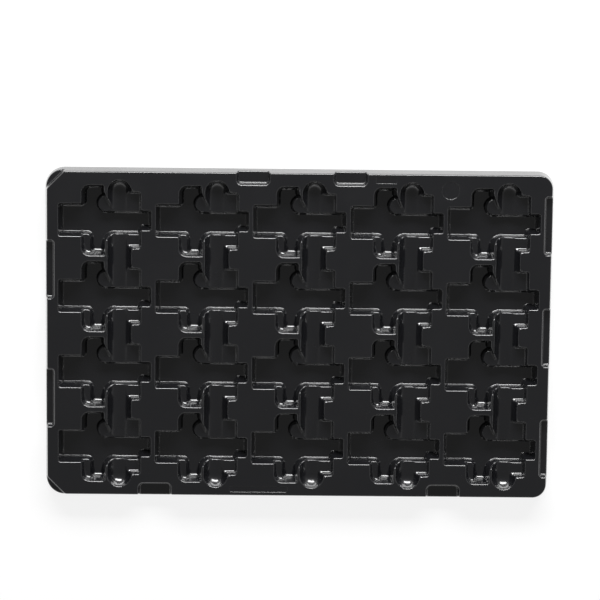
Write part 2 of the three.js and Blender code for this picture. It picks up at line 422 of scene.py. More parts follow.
def deck_outline() -> Outline:
    """Outline of the deck, whose left corners are rounder.

    Returns:
        The outline.
    """
    x, y = DECK.half_width, DECK.half_length
    return Outline(
        [
            Corner(-x, -y, DECK.key_radius),
            Corner(x, -y, DECK.corner_radius),
            Corner(x, y, DECK.corner_radius),
            Corner(-x, y, DECK.key_radius),
        ]
    )


def turned(corners: Sequence[Corner], turn: float, x: float, y: float) -> list[Corner]:
    """Corners turned about the origin, then moved.

    Args:
        corners: The corners to place.
        turn: Angle in radians, anticlockwise.
        x: Move along X.
        y: Move along Y.

    Returns:
        The corners in their new places.
    """
    cos, sin = math.cos(turn), math.sin(turn)
    return [
        Corner(c.x * cos - c.y * sin + x, c.x * sin + c.y * cos + y, c.radius)
        for c in corners
    ]


def notch_corners(width: float, depth: float, radius: float) -> list[Corner]:
    """Corners of a notch in an edge that runs along X with the deck below it.

    Args:
        width: Width of the notch along the edge.
        depth: How far it cuts into the deck.
        radius: Rounding of its inner corners.

    Returns:
        The corners, which reach well past the edge.
    """
    reach = DECK.notch_reach
    return [
        Corner(-width / 2, -depth, radius),
        Corner(width / 2, -depth, radius),
        Corner(width / 2, reach),
        Corner(-width / 2, reach),
    ]


def step_outlines() -> list[Outline]:
    """Outlines of the notches in the deck's edges and of its two corner keys.

    Returns:
        The outlines, all of hollows as deep as the shelves.
    """
    d = DECK
    end = notch_corners(d.end_notch_width, d.end_notch_depth, d.end_notch_radius)
    side = notch_corners(d.side_notch_width, d.side_notch_depth, d.side_notch_radius)
    placed: list[list[Corner]] = []
    for columns in d.back_notch_columns:
        x = columns * GRID.column_pitch + d.notch_shift
        placed.append(turned(end, 0, x, d.half_length))
    for columns in d.front_notch_columns:
        x = columns * GRID.column_pitch + d.notch_shift
        placed.append(turned(end, math.pi, x, -d.half_length))
    for rows in d.left_notch_rows:
        placed.append(turned(side, math.pi / 2, -d.half_width, rows * GRID.row_pitch))
    for rows in d.right_notch_rows:
        placed.append(turned(side, -math.pi / 2, d.half_width, rows * GRID.row_pitch))
    reach, leg = d.notch_reach, d.key_leg
    back_key = [
        Corner(-reach, -leg - reach),
        Corner(leg + reach, reach),
        Corner(-reach, reach),
    ]
    front_key = [Corner(c.x, -c.y) for c in reversed(back_key)]
    placed.append(turned(back_key, 0, -d.half_width, d.half_length))
    placed.append(turned(front_key, 0, -d.half_width, -d.half_length))
    return [Outline(corners) for corners in placed]


def pad_outlines() -> list[Outline]:
    """Outlines of the blank pads.

    Returns:
        One outline for each pad.
    """
    outlines = []
    for pad in PADS.pads:
        x, y = pad.width / 2, pad.length / 2
        corners = [
            Corner(-x, -y, pad.radius),
            Corner(x, -y, pad.radius),
            Corner(x, y, pad.radius),
            Corner(-x, y, pad.radius),
        ]
        outlines.append(Outline(turned(corners, 0, pad.x, pad.y)))
    return outlines


# ------------------------------------------------------------------ the field


@dataclass(frozen=True)
class FaceSizes:
    """Roundings and contour depths of one face of the sheet, in millimetres.

    Attributes:
        grow: How far the face lies outside the mould's hollows.
        edge: Rounding where the sheet bends down from the deck or from a step.
        floor: Rounding where a wall meets a floor.
        outwards: 1 where the face looks up, and -1 where it looks down.
        levels: Depths below the deck of the contour lines that the mesh follows.
        flat_levels: Those of them that only mark the ends of level floors.
    """

    grow: float
    edge: float
    floor: float
    outwards: int
    levels: tuple[float, ...]
    flat_levels: tuple[float, ...]


class Face(Enum):
    """The two faces of the sheet."""

    UPPER = FaceSizes(
        grow=0.0,
        edge=0.8,
        floor=0.95,
        outwards=1,
        levels=(
            *(0.01, 0.05, 0.13, 0.26, 0.45, 0.7, 1.6, 2.8, 4.0, 4.95, 5.2, 5.45, 5.66),
            *(5.81, 5.888, 5.91, 5.955, 6.04, 6.17, 6.36, 6.62, 7.1, 7.5, 7.75, 8.6, 9.7),
            *(10.6, 11.15, 11.4, 11.65, 11.86, 12.01, 12.088),
        ),
        flat_levels=(0.01, 5.888, 5.91, 12.088),
    )
    UNDER = FaceSizes(
        grow=1.0,
        edge=0.25,
        floor=1.95,
        outwards=-1,
        levels=(
            *(1.006, 1.06, 1.16, 1.3, 2.4, 4.0, 5.0, 5.7, 6.2, 6.6, 6.82, 6.885, 6.915),
            *(7.0, 7.15, 8.1, 8.7, 10.0, 11.2, 11.9, 12.4, 12.8, 13.02, 13.085),
        ),
        flat_levels=(1.006, 6.885, 6.915, 13.085),
    )


GROUND_GAP = 0.001
NO_SLOPE = 1e-12
STEP_REACH = 4 * Face.UPPER.value.floor
PAD_REACH = 2 * PADS.rounding


def joined(values: Sequence[np.ndarray], radius: float) -> np.ndarray:
    """Field of several hollows together, rounded where their walls meet.

    Args:
        values: The fields of the hollows.
        radius: Radius of the rounding.

    Returns:
        The field of all of them.
    """
    highest = np.maximum.reduce(values)
    total = sum(np.maximum(value + radius, 0) ** 2 for value in values)
    return np.where(highest > -radius, np.sqrt(total) - radius, highest)


def shared(one: np.ndarray, other: np.ndarray, radius: float) -> np.ndarray:
    """Field of what lies in both of two hollows, rounded where their walls meet.

    Args:
        one: The field of one hollow.
        other: The field of the other.
        radius: Radius of the rounding.

    Returns:
        The field of what they share.
    """
    lowest = np.minimum(one, other)
    total = np.maximum(radius - one, 0) ** 2 + np.maximum(radius - other, 0) ** 2
    return np.where(lowest < radius, radius - np.sqrt(total), lowest)


def eased(size: float, share: np.ndarray) -> np.ndarray:
    """A size that comes in gently as a share goes from 0 to 1."""
    share = np.clip(share, 0, 1)
    return size * share * share * (3 - 2 * share)


@dataclass
class Plan:
    """Distances in plan of some points from the outlines of the hollows near them.

    Attributes:
        deck: Distance inside the deck's outline.
        steps: Distances inside each notch or key.
        pads: Distances inside each blank pad.
        mouth: Distance inside the pocket's mouth.
        floor: Distance inside the outline of its deep floor.
        axis: Distance from the channel's axis.
        local_y: Place along Y from the pocket's centre point.
    """

    deck: np.ndarray
    steps: list[np.ndarray]
    pads: list[np.ndarray] = field(default_factory=list)
    mouth: Optional[np.ndarray] = None
    floor: Optional[np.ndarray] = None
    axis: Optional[np.ndarray] = None
    local_y: Optional[np.ndarray] = None

    def skirt(self, depth: np.ndarray, face: Face) -> np.ndarray:
        """Field of the open air round the skirt."""
        lean = SHEET.skirt_draft
        return (-self.deck - lean * depth) / math.hypot(1, lean) + face.value.grow

    def crest_softening(self) -> np.ndarray:
        """Extra rounding where the sheet stretched thin between pocket and channel.

        Returns:
            The extra radius at each point.
        """
        narrow = np.abs(self.mouth) + np.abs(self.axis - CHANNEL.radius)
        share = (SOFTENING.crest_reach - narrow) / SOFTENING.crest_fade
        return eased(SOFTENING.crest, share)

    def end_softening(self) -> np.ndarray:
        """Extra rounding of the floor at the end of the pocket's foot.

        Returns:
            The extra radius at each point.
        """
        share = (SOFTENING.end_start - self.local_y) / SOFTENING.end_fade
        return eased(SOFTENING.end, share)

    def field(self, depth: np.ndarray, face: Face) -> np.ndarray:
        """Field of all the hollows.

        Args:
            depth: Depth of each point below the deck.
            face: Face of the sheet that the field is for.

        Returns:
            Values above 0 in the mould's hollows and below 0 in the material.
        """
        grow = face.value.grow
        lean = SHEET.draft
        slant = math.hypot(1, lean)
        edge, floor = face.value.edge, face.value.floor
        if self.mouth is not None:
            edge = edge + self.crest_softening()
            floor = floor + self.end_softening()
        skirt = self.skirt(depth, face)
        hollows = [grow - depth, skirt]
        for step in self.steps:
            wall = (step - lean * depth) / slant + grow
            hollows.append(shared(wall, SHEET.step_depth - depth + grow, face.value.floor))
        if self.mouth is not None:
            wall = (self.mouth - lean * depth) / slant + grow
            deep = (self.floor - lean * depth) / slant + grow
            deep = shared(deep, SHEET.pocket_depth - depth + grow, floor)
            step = SHEET.step_depth - depth + grow
            hollows.append(shared(wall, joined([step, deep], face.value.edge), floor))
            hollows.append(CHANNEL.radius + grow - np.hypot(self.axis, depth))
        total = joined(hollows, edge)
        for pad in self.pads:
            wall = pad - PADS.draft * depth
            pressed = shared(wall, PADS.depth - depth, PADS.rounding)
            total = joined([total, pressed], PADS.rounding)
        near_ground = depth > SHEET.height - GROUND_GAP
        return np.where(near_ground, skirt, total)


class Hollows:
    """The outlines of every hollow in the sheet."""

    def __init__(self) -> None:
        """Works the outlines out."""
        self.mouth = mouth_outline()
        self.floor = floor_outline()
        self.deck = deck_outline()
        self.steps = step_outlines()
        self.pads = pad_outlines()

    def plan(
        self,
        x: np.ndarray,
        y: np.ndarray,
        centre: Optional[tuple[float, float]],
        face: Face,
    ) -> Plan:
        """Distances of points from the outlines.

        Args:
            x: Places of the points along X.
            y: Places along Y.
            centre: Centre point of the pocket round them, or None in a rim.
            face: The face of the sheet, of which only the upper one has pads.

        Returns:
            The distances.
        """
        plan = Plan(self.deck.inside(x, y), [])
        for outline in self.steps:
            distance = outline.inside(x, y)
            if distance.max() > -STEP_REACH:
                plan.steps.append(distance)
        for outline in self.pads if face is Face.UPPER else []:
            distance = outline.inside(x, y)
            if distance.max() > -PAD_REACH:
                plan.pads.append(distance)
        if centre is not None:
            local_x, local_y = x - centre[0], y - centre[1]
            plan.mouth = self.mouth.inside(local_x, local_y)
            plan.floor = self.floor.inside(local_x, local_y)
            past = np.maximum(np.abs(y) - CHANNEL.half_length, 0)
            plan.axis = np.hypot(local_x - CHANNEL.offset_x, past)
            plan.local_y = local_y
        return plan


# ------------------------------------------------------------------ contour lines


class GridLines:
    """Contour lines of values on a square grid."""

    def __init__(self, x: np.ndarray, y: np.ndarray) -> None:
        """Keeps the grid.

        Args:
            x: Places of the grid's columns.
            y: Places of its rows.
        """
        self.x = x
        self.y = y

    def crossings(self, values: np.ndarray) -> tuple[np.ndarray, np.ndarray]:
        """Places where the values change sign along the sides of the squares.

        Args:
            values: Values at the grid's points, indexed by column, then row.

        Returns:
            Places on the sides that run along X, and on those along Y, in X and Y.
        """
        a, b = values[:-1, :], values[1:, :]
        share = np.clip(a / np.where(a == b, 1, a - b), 0, 1)
        across = self.x[:-1, None] + share * (self.x[1:, None] - self.x[:-1, None])
        along_x = np.stack([across, np.broadcast_to(self.y[None, :], across.shape)], -1)
        a, b = values[:, :-1], values[:, 1:]
        share = np.clip(a / np.where(a == b, 1, a - b), 0, 1)
        up = self.y[None, :-1] + share * (self.y[None, 1:] - self.y[None, :-1])
        along_y = np.stack([np.broadcast_to(self.x[:, None], up.shape), up], -1)
        return along_x, along_y

    def segments(self, values: np.ndarray) -> np.ndarray:
        """Pieces of the zero line, as pairs of the square sides that they join.

        Args:
            values: Values at the grid's points.

        Returns:
            Pairs of side numbers.
        """
        columns, rows = values.shape
        sides_x = np.arange((columns - 1) * rows).reshape(columns - 1, rows)
        sides_y = np.arange(columns * (rows - 1)).reshape(columns, rows - 1) + sides_x.size
        inside = values > 0
        code = inside[:-1, :-1] + inside[1:, :-1] * 2 + inside[1:, 1:] * 4 + inside[:-1, 1:] * 8
        bottom, top = sides_x[:, :-1], sides_x[:, 1:]
        left, right = sides_y[:-1, :], sides_y[1:, :]
        middle = values[:-1, :-1] + values[1:, :-1] + values[1:, 1:] + values[:-1, 1:] > 0
        joins = [
            ((code == 1) | (code == 14), left, bottom),
            ((code == 2) | (code == 13), bottom, right),
            ((code == 4) | (code == 11), right, top),
            ((code == 8) | (code == 7), top, left),
            ((code == 3) | (code == 12), left, right),
            ((code == 6) | (code == 9), bottom, top),
            ((code == 5) & ~middle, left, bottom),
            ((code == 5) & ~middle, right, top),
            ((code == 5) & middle, left, top),
            ((code == 5) & middle, bottom, right),
            ((code == 10) & ~middle, bottom, right),
            ((code == 10) & ~middle, top, left),
            ((code == 10) & middle, left, bottom),
            ((code == 10) & middle, right, top),
        ]
        pairs = [np.stack([one[where], other[where]], -1) for where, one, other in joins]
        return np.concatenate(pairs)

    def lines(self, values: np.ndarray) -> list[np.ndarray]:
        """Zero lines of the values.

        Args:
            values: Values at the grid's points.

        Returns:
            Lines of points in order. A closed line repeats its first point.
        """
        values = np.where(values == 0, TINY, values)
        pairs = self.segments(values)
        if not len(pairs):
            return []
        along_x, along_y = self.crossings(values)
        places = np.concatenate([along_x.reshape(-1, 2), along_y.reshape(-1, 2)])
        beside: dict[int, list[int]] = defaultdict(list)
        for one, other in pairs.tolist():
            beside[one].append(other)
            beside[other].append(one)
        ends = [side for side, others in beside.items() if len(others) == 1]
        unused = dict.fromkeys([*ends, *beside])
        found = []
        while unused:
            here = next(iter(unused))
            chain = [here]
            del unused[here]
            while True:
                following = [side for side in beside[here] if side in unused]
                if not following:
                    break
                here = following[0]
                del unused[here]
                chain.append(here)
            if len(chain) > 2 and chain[0] in beside[here]:
                chain.append(chain[0])
            if len(chain) > 1:
                found.append(places[chain])
        return found


def thinned(line: np.ndarray, tolerance: float) -> np.ndarray:
    """A line without the points that lie within a tolerance of the rest.

    Args:
        line: The points in order.
        tolerance: How far the line may move.

    Returns:
        The points that are kept.
    """
    if len(line) < 3:
        return line
    closed = np.allclose(line[0], line[-1])
    kept = {0, len(line) - 1}
    spans = [(0, len(line) - 1)]
    if closed:
        far = int(np.argmax(np.hypot(*(line - line[0]).T)))
        kept.add(far)
        spans = [(0, far), (far, len(line) - 1)]
    while spans:
        start, end = spans.pop()
        if end - start < 2:
            continue
        run = line[end] - line[start]
        length = math.hypot(*run)
        away = line[start + 1 : end] - line[start]
        if length < TINY:
            off = np.hypot(away[:, 0], away[:, 1])
        else:
            off = np.abs(away[:, 0] * run[1] - away[:, 1] * run[0]) / length
        worst = int(np.argmax(off))
        if off[worst] > tolerance:
            middle = start + 1 + worst
            kept.add(middle)
            spans += [(start, middle), (middle, end)]
    return line[sorted(kept)]


# ------------------------------------------------------------------ meshing


@dataclass
class Skin:
    """Triangles of one face of the sheet, in millimetres."""

    points: np.ndarray
    normals: np.ndarray
    triangles: np.ndarray


@dataclass(frozen=True)
class Limits:
    """A region of the tray in plan, in millimetres."""

    left: float
    bottom: float
    right: float
    top: float


class RegionMesher:
    """Meshes one region of the sheet.

    Attributes:
        GRID_STEP: Width of the squares that contour lines are found in.
        TOLERANCE: How far a contour line may move when it is thinned.
        FLAT_NORMAL: Upward part of a normal above which a floor counts as level.
        STEADY_LEAN: Lean in degrees below which a level floor's normal is made upright.
        LEVEL_GAP: How near a point is to a contour depth that it belongs to.
        NUDGE: Step over which the slope of the field is taken.
        HALVINGS: How often the search for a depth halves its range.
        WELD: How near points are that the triangulation makes one.
    """

    GRID_STEP = 0.25
    TOLERANCE = 0.006
    FLAT_NORMAL = 0.9
    STEADY_LEAN = 14.0
    LEVEL_GAP = 1e-4
    NUDGE = 0.002
    HALVINGS = 30
    WELD = 1e-7

    def __init__(
        self, hollows: Hollows, limits: Limits, centre: Optional[tuple[float, float]]
    ) -> None:
        """Lays the grid over the region.

        Args:
            hollows: The hollows in the sheet.
            limits: The region's limits in plan.
            centre: Centre point of the region's pocket, or None in a rim.
        """
        self.hollows = hollows
        self.limits = limits
        self.centre = centre
        columns = round((limits.right - limits.left) / self.GRID_STEP)
        rows = round((limits.top - limits.bottom) / self.GRID_STEP)
        x = np.linspace(limits.left, limits.right, columns + 1)
        y = np.linspace(limits.bottom, limits.top, rows + 1)
        self.grid = GridLines(x, y)
        places = np.meshgrid(x, y, indexing="ij")
        self.grid_plans = {face: self.plan(*places, face) for face in Face}

    def plan(self, x: np.ndarray, y: np.ndarray, face: Face) -> Plan:
        """Distances of points from the outlines."""
        return self.hollows.plan(x, y, self.centre, face)

    def has_pads(self) -> bool:
        """Whether a blank pad reaches into the region."""
        return bool(self.grid_plans[Face.UPPER].pads)

    def field_at(self, points: np.ndarray, face: Face) -> np.ndarray:
        """Field at points given by X, Y and depth."""
        return self.plan(points[:, 0], points[:, 1], face).field(points[:, 2], face)

    def slopes(self, points: np.ndarray, face: Face) -> np.ndarray:
        """Unit normals of the face at points given by X, Y and depth.

        Args:
            points: The points.
            face: The face of the sheet.

        Returns:
            Normals in X, Y and Z, which is up.
        """
        nudge = self.NUDGE
        slope = np.zeros_like(points)
        for axis in (0, 1):
            moved = np.zeros(3)
            moved[axis] = nudge
            ahead = self.field_at(points + moved, face)
            slope[:, axis] = ahead - self.field_at(points - moved, face)
        plan = self.plan(points[:, 0], points[:, 1], face)
        depth = points[:, 2]
        ahead = plan.field(depth + nudge, face)
        slope[:, 2] = plan.field(depth - nudge, face) - ahead
        ground = depth > SHEET.height - 2 * nudge
        lean = SHEET.skirt_draft / math.hypot(1, SHEET.skirt_draft)
        slope[ground, 2] = 2 * nudge * lean
        slope *= face.value.outwards
        return slope / np.maximum(np.linalg.norm(slope, axis=1), NO_SLOPE)[:, None]

    def depth_of(self, places: np.ndarray, face: Face) -> np.ndarray:
        """Depth of the face below the deck, found by halving.

        Args:
            places: Places in X and Y.
            face: The face of the sheet.

        Returns:
            One depth for each place.
        """
        plan = self.plan(places[:, 0], places[:, 1], face)
        low = np.zeros(len(places))
        high = np.full(len(places), SHEET.height - self.NUDGE)
        for _ in range(self.HALVINGS):
            middle = (low + high) / 2
            air = plan.field(middle, face) > 0
            low = np.where(air, middle, low)
            high = np.where(air, high, middle)
        return (low + high) / 2

    def contour(self, level: float, face: Face) -> list[np.ndarray]:
        """Contour lines of a face at one depth.

        Args:
            level: The depth.
            face: The face of the sheet.

        Returns:
            Lines of points in X, Y and depth.
        """
        plan = self.grid_plans[face]
        depth = np.full(plan.deck.shape, level)
        lines = []
        for line in self.grid.lines(plan.field(depth, face)):
            line = thinned(line, self.TOLERANCE)
            points = np.column_stack([line, np.full(len(line), level)])
            if level in face.value.flat_levels:
                lines += self.level_runs(points, face)
            else:
                lines.append(points)
        return lines

    def level_runs(self, points: np.ndarray, face: Face) -> list[np.ndarray]:
        """The parts of a contour line that bound a level floor, and not a wall.

        Args:
            points: The line's points in X, Y and depth.
            face: The face of the sheet.

        Returns:
            The parts, each of two points or more.
        """
        level = np.abs(self.slopes(points, face)[:, 2]) > self.FLAT_NORMAL
        runs, start = [], None
        for i, is_level in enumerate([*level.tolist(), False]):
            if is_level and start is None:
                start = i
            if not is_level and start is not None:
                if i - start > 1:
                    runs.append(points[start:i])
                start = None
        return runs

    def frame_points(self, face: Face) -> np.ndarray:
        """The region's four corners, at the depth of the face.

        Args:
            face: The face of the sheet.

        Returns:
            The corners in X, Y and depth.
        """
        at = self.limits
        x = [at.left, at.right, at.right, at.left]
        y = [at.bottom, at.bottom, at.top, at.top]
        places = np.column_stack([x, y])
        return np.column_stack([places, self.depth_of(places, face)])

    def border_edges(self, points: np.ndarray) -> list[tuple[int, int]]:
        """Edges that join the points on each side of the region in order.

        Args:
            points: Points in X, Y and depth.

        Returns:
            Pairs of point numbers.
        """
        at = self.limits
        edges = []
        for axis, value in ((0, at.left), (0, at.right), (1, at.bottom), (1, at.top)):
            on_side = np.flatnonzero(np.abs(points[:, axis] - value) < SAME_PLACE)
            ordered = on_side[np.argsort(points[on_side, 1 - axis])]
            edges += list(zip(ordered[:-1].tolist(), ordered[1:].tolist(), strict=True))
        return edges

    def triangulated(
        self, lines: Sequence[np.ndarray], face: Face
    ) -> tuple[np.ndarray, np.ndarray]:
        """Triangles that follow some lines and fill the region.

        Args:
            lines: Lines of points in X, Y and depth.
            face: The face of the sheet.

        Returns:
            Points in X, Y and depth, and triangles as rows of three point numbers.
        """
        chunks, edges = [self.frame_points(face)], []
        first = len(chunks[0])
        for line in lines:
            closed = len(line) > 2 and np.allclose(line[0], line[-1])
            body = line[:-1] if closed else line
            numbers = list(range(first, first + len(body)))
            edges += list(zip(numbers[:-1], numbers[1:], strict=True))
            if closed:
                edges.append((numbers[-1], numbers[0]))
            first += len(body)
            chunks.append(body)
        points = np.concatenate(chunks)
        edges += self.border_edges(points)
        flat = [Vector(place) for place in points[:, :2].tolist()]
        found = delaunay_2d_cdt(flat, edges, [], 0, self.WELD, True)
        places, _, faces, sources, _, _ = found
        made = np.array([[place.x, place.y, 0.0] for place in places])
        crossed = []
        for i, source in enumerate(sources):
            if source:
                made[i] = points[source[0]]
            else:
                crossed.append(i)
        if crossed:
            made[crossed, 2] = self.depth_of(made[crossed, :2], face)
        return made, np.array(faces, dtype=int).reshape(-1, 3)

    def skin(self, face: Face) -> Skin:
        """One face of the sheet over the region.

        Args:
            face: The face to mesh.

        Returns:
            Its triangles, inside the skirt.
        """
        levels = [*face.value.levels, SHEET.height]
        if face is Face.UPPER and self.has_pads():
            levels += PADS.levels
        lines = [line for level in levels for line in self.contour(level, face)]
        points, triangles = self.triangulated(lines, face)
        middles = points[triangles].mean(axis=1)
        plan = self.plan(middles[:, 0], middles[:, 1], face)
        within = plan.skirt(np.full(len(middles), SHEET.height), face) <= 0
        triangles = triangles[within]
        normals = self.slopes(points, face)
        steady = np.abs(normals[:, 2]) > math.cos(math.radians(self.STEADY_LEAN))
        near = np.zeros(len(points), dtype=bool)
        for level in (*face.value.flat_levels, PADS.levels[-1]):
            near |= np.abs(points[:, 2] - level) < self.LEVEL_GAP
        normals[steady & near] = (0, 0, face.value.outwards)
        if face.value.outwards < 0:
            triangles = triangles[:, ::-1]
        points[:, 2] = SHEET.height - points[:, 2]
        return Skin(points, normals, triangles)

    def foot(self) -> Skin:
        """The edge of the skirt, which the tray stands on.

        Returns:
            Its triangles, which face down.
        """
        lines = [line for face in Face for line in self.contour(SHEET.height, face)]
        points, triangles = self.triangulated(lines, Face.UPPER)
        middles = points[triangles].mean(axis=1)
        plan = self.plan(middles[:, 0], middles[:, 1], Face.UPPER)
        level = np.full(len(middles), SHEET.height)
        within = (plan.skirt(level, Face.UPPER) <= 0) & (plan.skirt(level, Face.UNDER) > 0)
        normals = np.tile([0.0, 0.0, -1.0], (len(points), 1))
        points[:, 2] = 0
        return Skin(points, normals, triangles[within][:, ::-1])


# ------------------------------------------------------------------ finishes


@dataclass(frozen=True)
class SheetFinish:
    """Black formed plastic with a satin skin.

    Attributes:
        color: Base colour of the plastic.
        roughness: Roughness of the clean skin.
        roughness_spread: How far the roughness strays over the surface.
        coat: Strength of the smoother skin that the mould leaves.
        coat_roughness: Roughness of that skin.
        ior: Index of refraction of the plastic.
        grain_size: Size of the skin's fine grain, in metres.
        grain_height: Height of the grain, in metres.
        grain_detail: How many finer layers the grain has.
        cloud_size: Size of the broad changes in gloss, in metres.
        cloud_detail: How many finer layers the clouds have.
        cloud_range: Values of the cloud noise at the least and the most rough places.
        speck_color: Colour of the dust specks.
        speck_size: Distance between dust specks, in metres.
        speck_fade: Where a speck has faded out and where it is whole, from its middle.
    """

    color: tuple[float, float, float] = (0.0068, 0.0070, 0.0085)
    roughness: float = 0.25
    roughness_spread: float = 0.06
    coat: float = 0.9
    coat_roughness: float = 0.13
    ior: float = 1.57
    grain_size: float = 0.0006
    grain_height: float = 0.0000025
    grain_detail: float = 2.0
    cloud_size: float = 0.030
    cloud_detail: float = 3.0
    cloud_range: tuple[float, float] = (0.3, 0.7)
    speck_color: tuple[float, float, float] = (0.05, 0.05, 0.052)
    speck_size: float = 0.006
    speck_fade: tuple[float, float] = (0.03, 0.015)

    def material(self) -> bpy.types.Material:
        """Builds the material.

        Returns:
            The new material.
        """
        made = bpy.data.materials.new("formed_black_plastic")
        made.use_nodes = True
        nodes, links = made.node_tree.nodes, made.node_tree.links
        nodes.clear()
        place = nodes.new("ShaderNodeTexCoord")
        shader = nodes.new("ShaderNodeBsdfPrincipled")
        shader.inputs["IOR"].default_value = self.ior
        shader.inputs["Coat IOR"].default_value = self.ior
        shader.inputs["Metallic"].default_value = 0.0
        shader.inputs["Coat Weight"].default_value = self.coat
        shader.inputs["Coat Roughness"].default_value = self.coat_roughness
        clouds = self.noise(nodes, links, place, self.cloud_size, self.cloud_detail)
        spread = nodes.new("ShaderNodeMapRange")
        spread.inputs["From Min"].default_value = self.cloud_range[0]
        spread.inputs["From Max"].default_value = self.cloud_range[1]
        spread.inputs["To Min"].default_value = self.roughness - self.roughness_spread
        spread.inputs["To Max"].default_value = self.roughness + self.roughness_spread
        links.new(clouds, spread.inputs["Value"])
        links.new(spread.outputs["Result"], shader.inputs["Roughness"])
        specks = nodes.new("ShaderNodeTexVoronoi")
        specks.inputs["Scale"].default_value = 1 / self.speck_size
        specks.inputs["Randomness"].default_value = 1.0
        links.new(place.outputs["Object"], specks.inputs["Vector"])
        dust = nodes.new("ShaderNodeMapRange")
        dust.inputs["From Min"].default_value = self.speck_fade[0]
        dust.inputs["From Max"].default_value = self.speck_fade[1]
        links.new(specks.outputs["Distance"], dust.inputs["Value"])
        tint = nodes.new("ShaderNodeMix")
        tint.data_type = "RGBA"
        tint.inputs["A"].default_value = (*self.color, 1)
        tint.inputs["B"].default_value = (*self.speck_color, 1)
        links.new(dust.outputs["Result"], tint.inputs["Factor"])
        links.new(tint.outputs["Result"], shader.inputs["Base Color"])
        grain = self.noise(nodes, links, place, self.grain_size, self.grain_detail)
        bump = nodes.new("ShaderNodeBump")
        bump.inputs["Strength"].default_value = 1.0
        bump.inputs["Distance"].default_value = self.grain_height
        links.new(grain, bump.inputs["Height"])
        links.new(bump.outputs["Normal"], shader.inputs["Normal"])
        output = nodes.new("ShaderNodeOutputMaterial")
        links.new(shader.outputs["BSDF"], output.inputs["Surface"])
        return made

    @staticmethod
    def noise(
        nodes: bpy.types.Nodes,
        links: bpy.types.NodeLinks,
        place: bpy.types.Node,
        size: float,
        detail: float,
    ) -> bpy.types.NodeSocket:
        """Adds a noise pattern fixed to the sheet.

        Args:
            nodes: The material's nodes.
            links: The material's links.
            place: The Texture Coordinate node.
            size: Size of the pattern's largest features, in metres.
            detail: How many finer layers it has.

        Returns:
            The socket with the noise, from 0 to 1.
        """
        pattern = nodes.new("ShaderNodeTexNoise")
        pattern.inputs["Scale"].default_value = 1 / size
        pattern.inputs["Detail"].default_value = detail
        links.new(place.outputs["Object"], pattern.inputs["Vector"])
        return pattern.outputs["Fac"]


@dataclass(frozen=True)
class FloorFinish:
    """Matt white paper under the tray.

    Attributes:
        color: Colour of the paper.
        glow: How much brighter it is where it is seen directly or mirrored.
    """

    color: tuple[float, float, float] = (0.22, 0.22, 0.22)
    glow: float = 0.84

    def material(self) -> bpy.types.Material:
        """Builds the material, whose glow is seen and mirrored but lights nothing else.

        Returns:
            The new material.
        """
        made = bpy.data.materials.new("white_paper")
        made.use_nodes = True
        nodes, links = made.node_tree.nodes, made.node_tree.links
        nodes.clear()
        paper = nodes.new("ShaderNodeBsdfDiffuse")
        paper.inputs["Color"].default_value = (*self.color, 1)
        rays = nodes.new("ShaderNodeLightPath")
        seen = nodes.new("ShaderNodeMath")
        seen.operation = "MAXIMUM"
        links.new(rays.outputs["Is Camera Ray"], seen.inputs[0])
        links.new(rays.outputs["Is Glossy Ray"], seen.inputs[1])
        level = nodes.new("ShaderNodeMath")
        level.operation = "MULTIPLY"
        level.inputs[1].default_value = self.glow
        links.new(seen.outputs["Value"], level.inputs[0])
        glow = nodes.new("ShaderNodeEmission")
        glow.inputs["Color"].default_value = (1, 1, 1, 1)
        links.new(level.outputs["Value"], glow.inputs["Strength"])
        both = nodes.new("ShaderNodeAddShader")
        links.new(paper.outputs["BSDF"], both.inputs[0])
        links.new(glow.outputs["Emission"], both.inputs[1])
        output = nodes.new("ShaderNodeOutputMaterial")
        links.new(both.outputs["Shader"], output.inputs["Surface"])
        return made


# ------------------------------------------------------------------ sub-assemblies


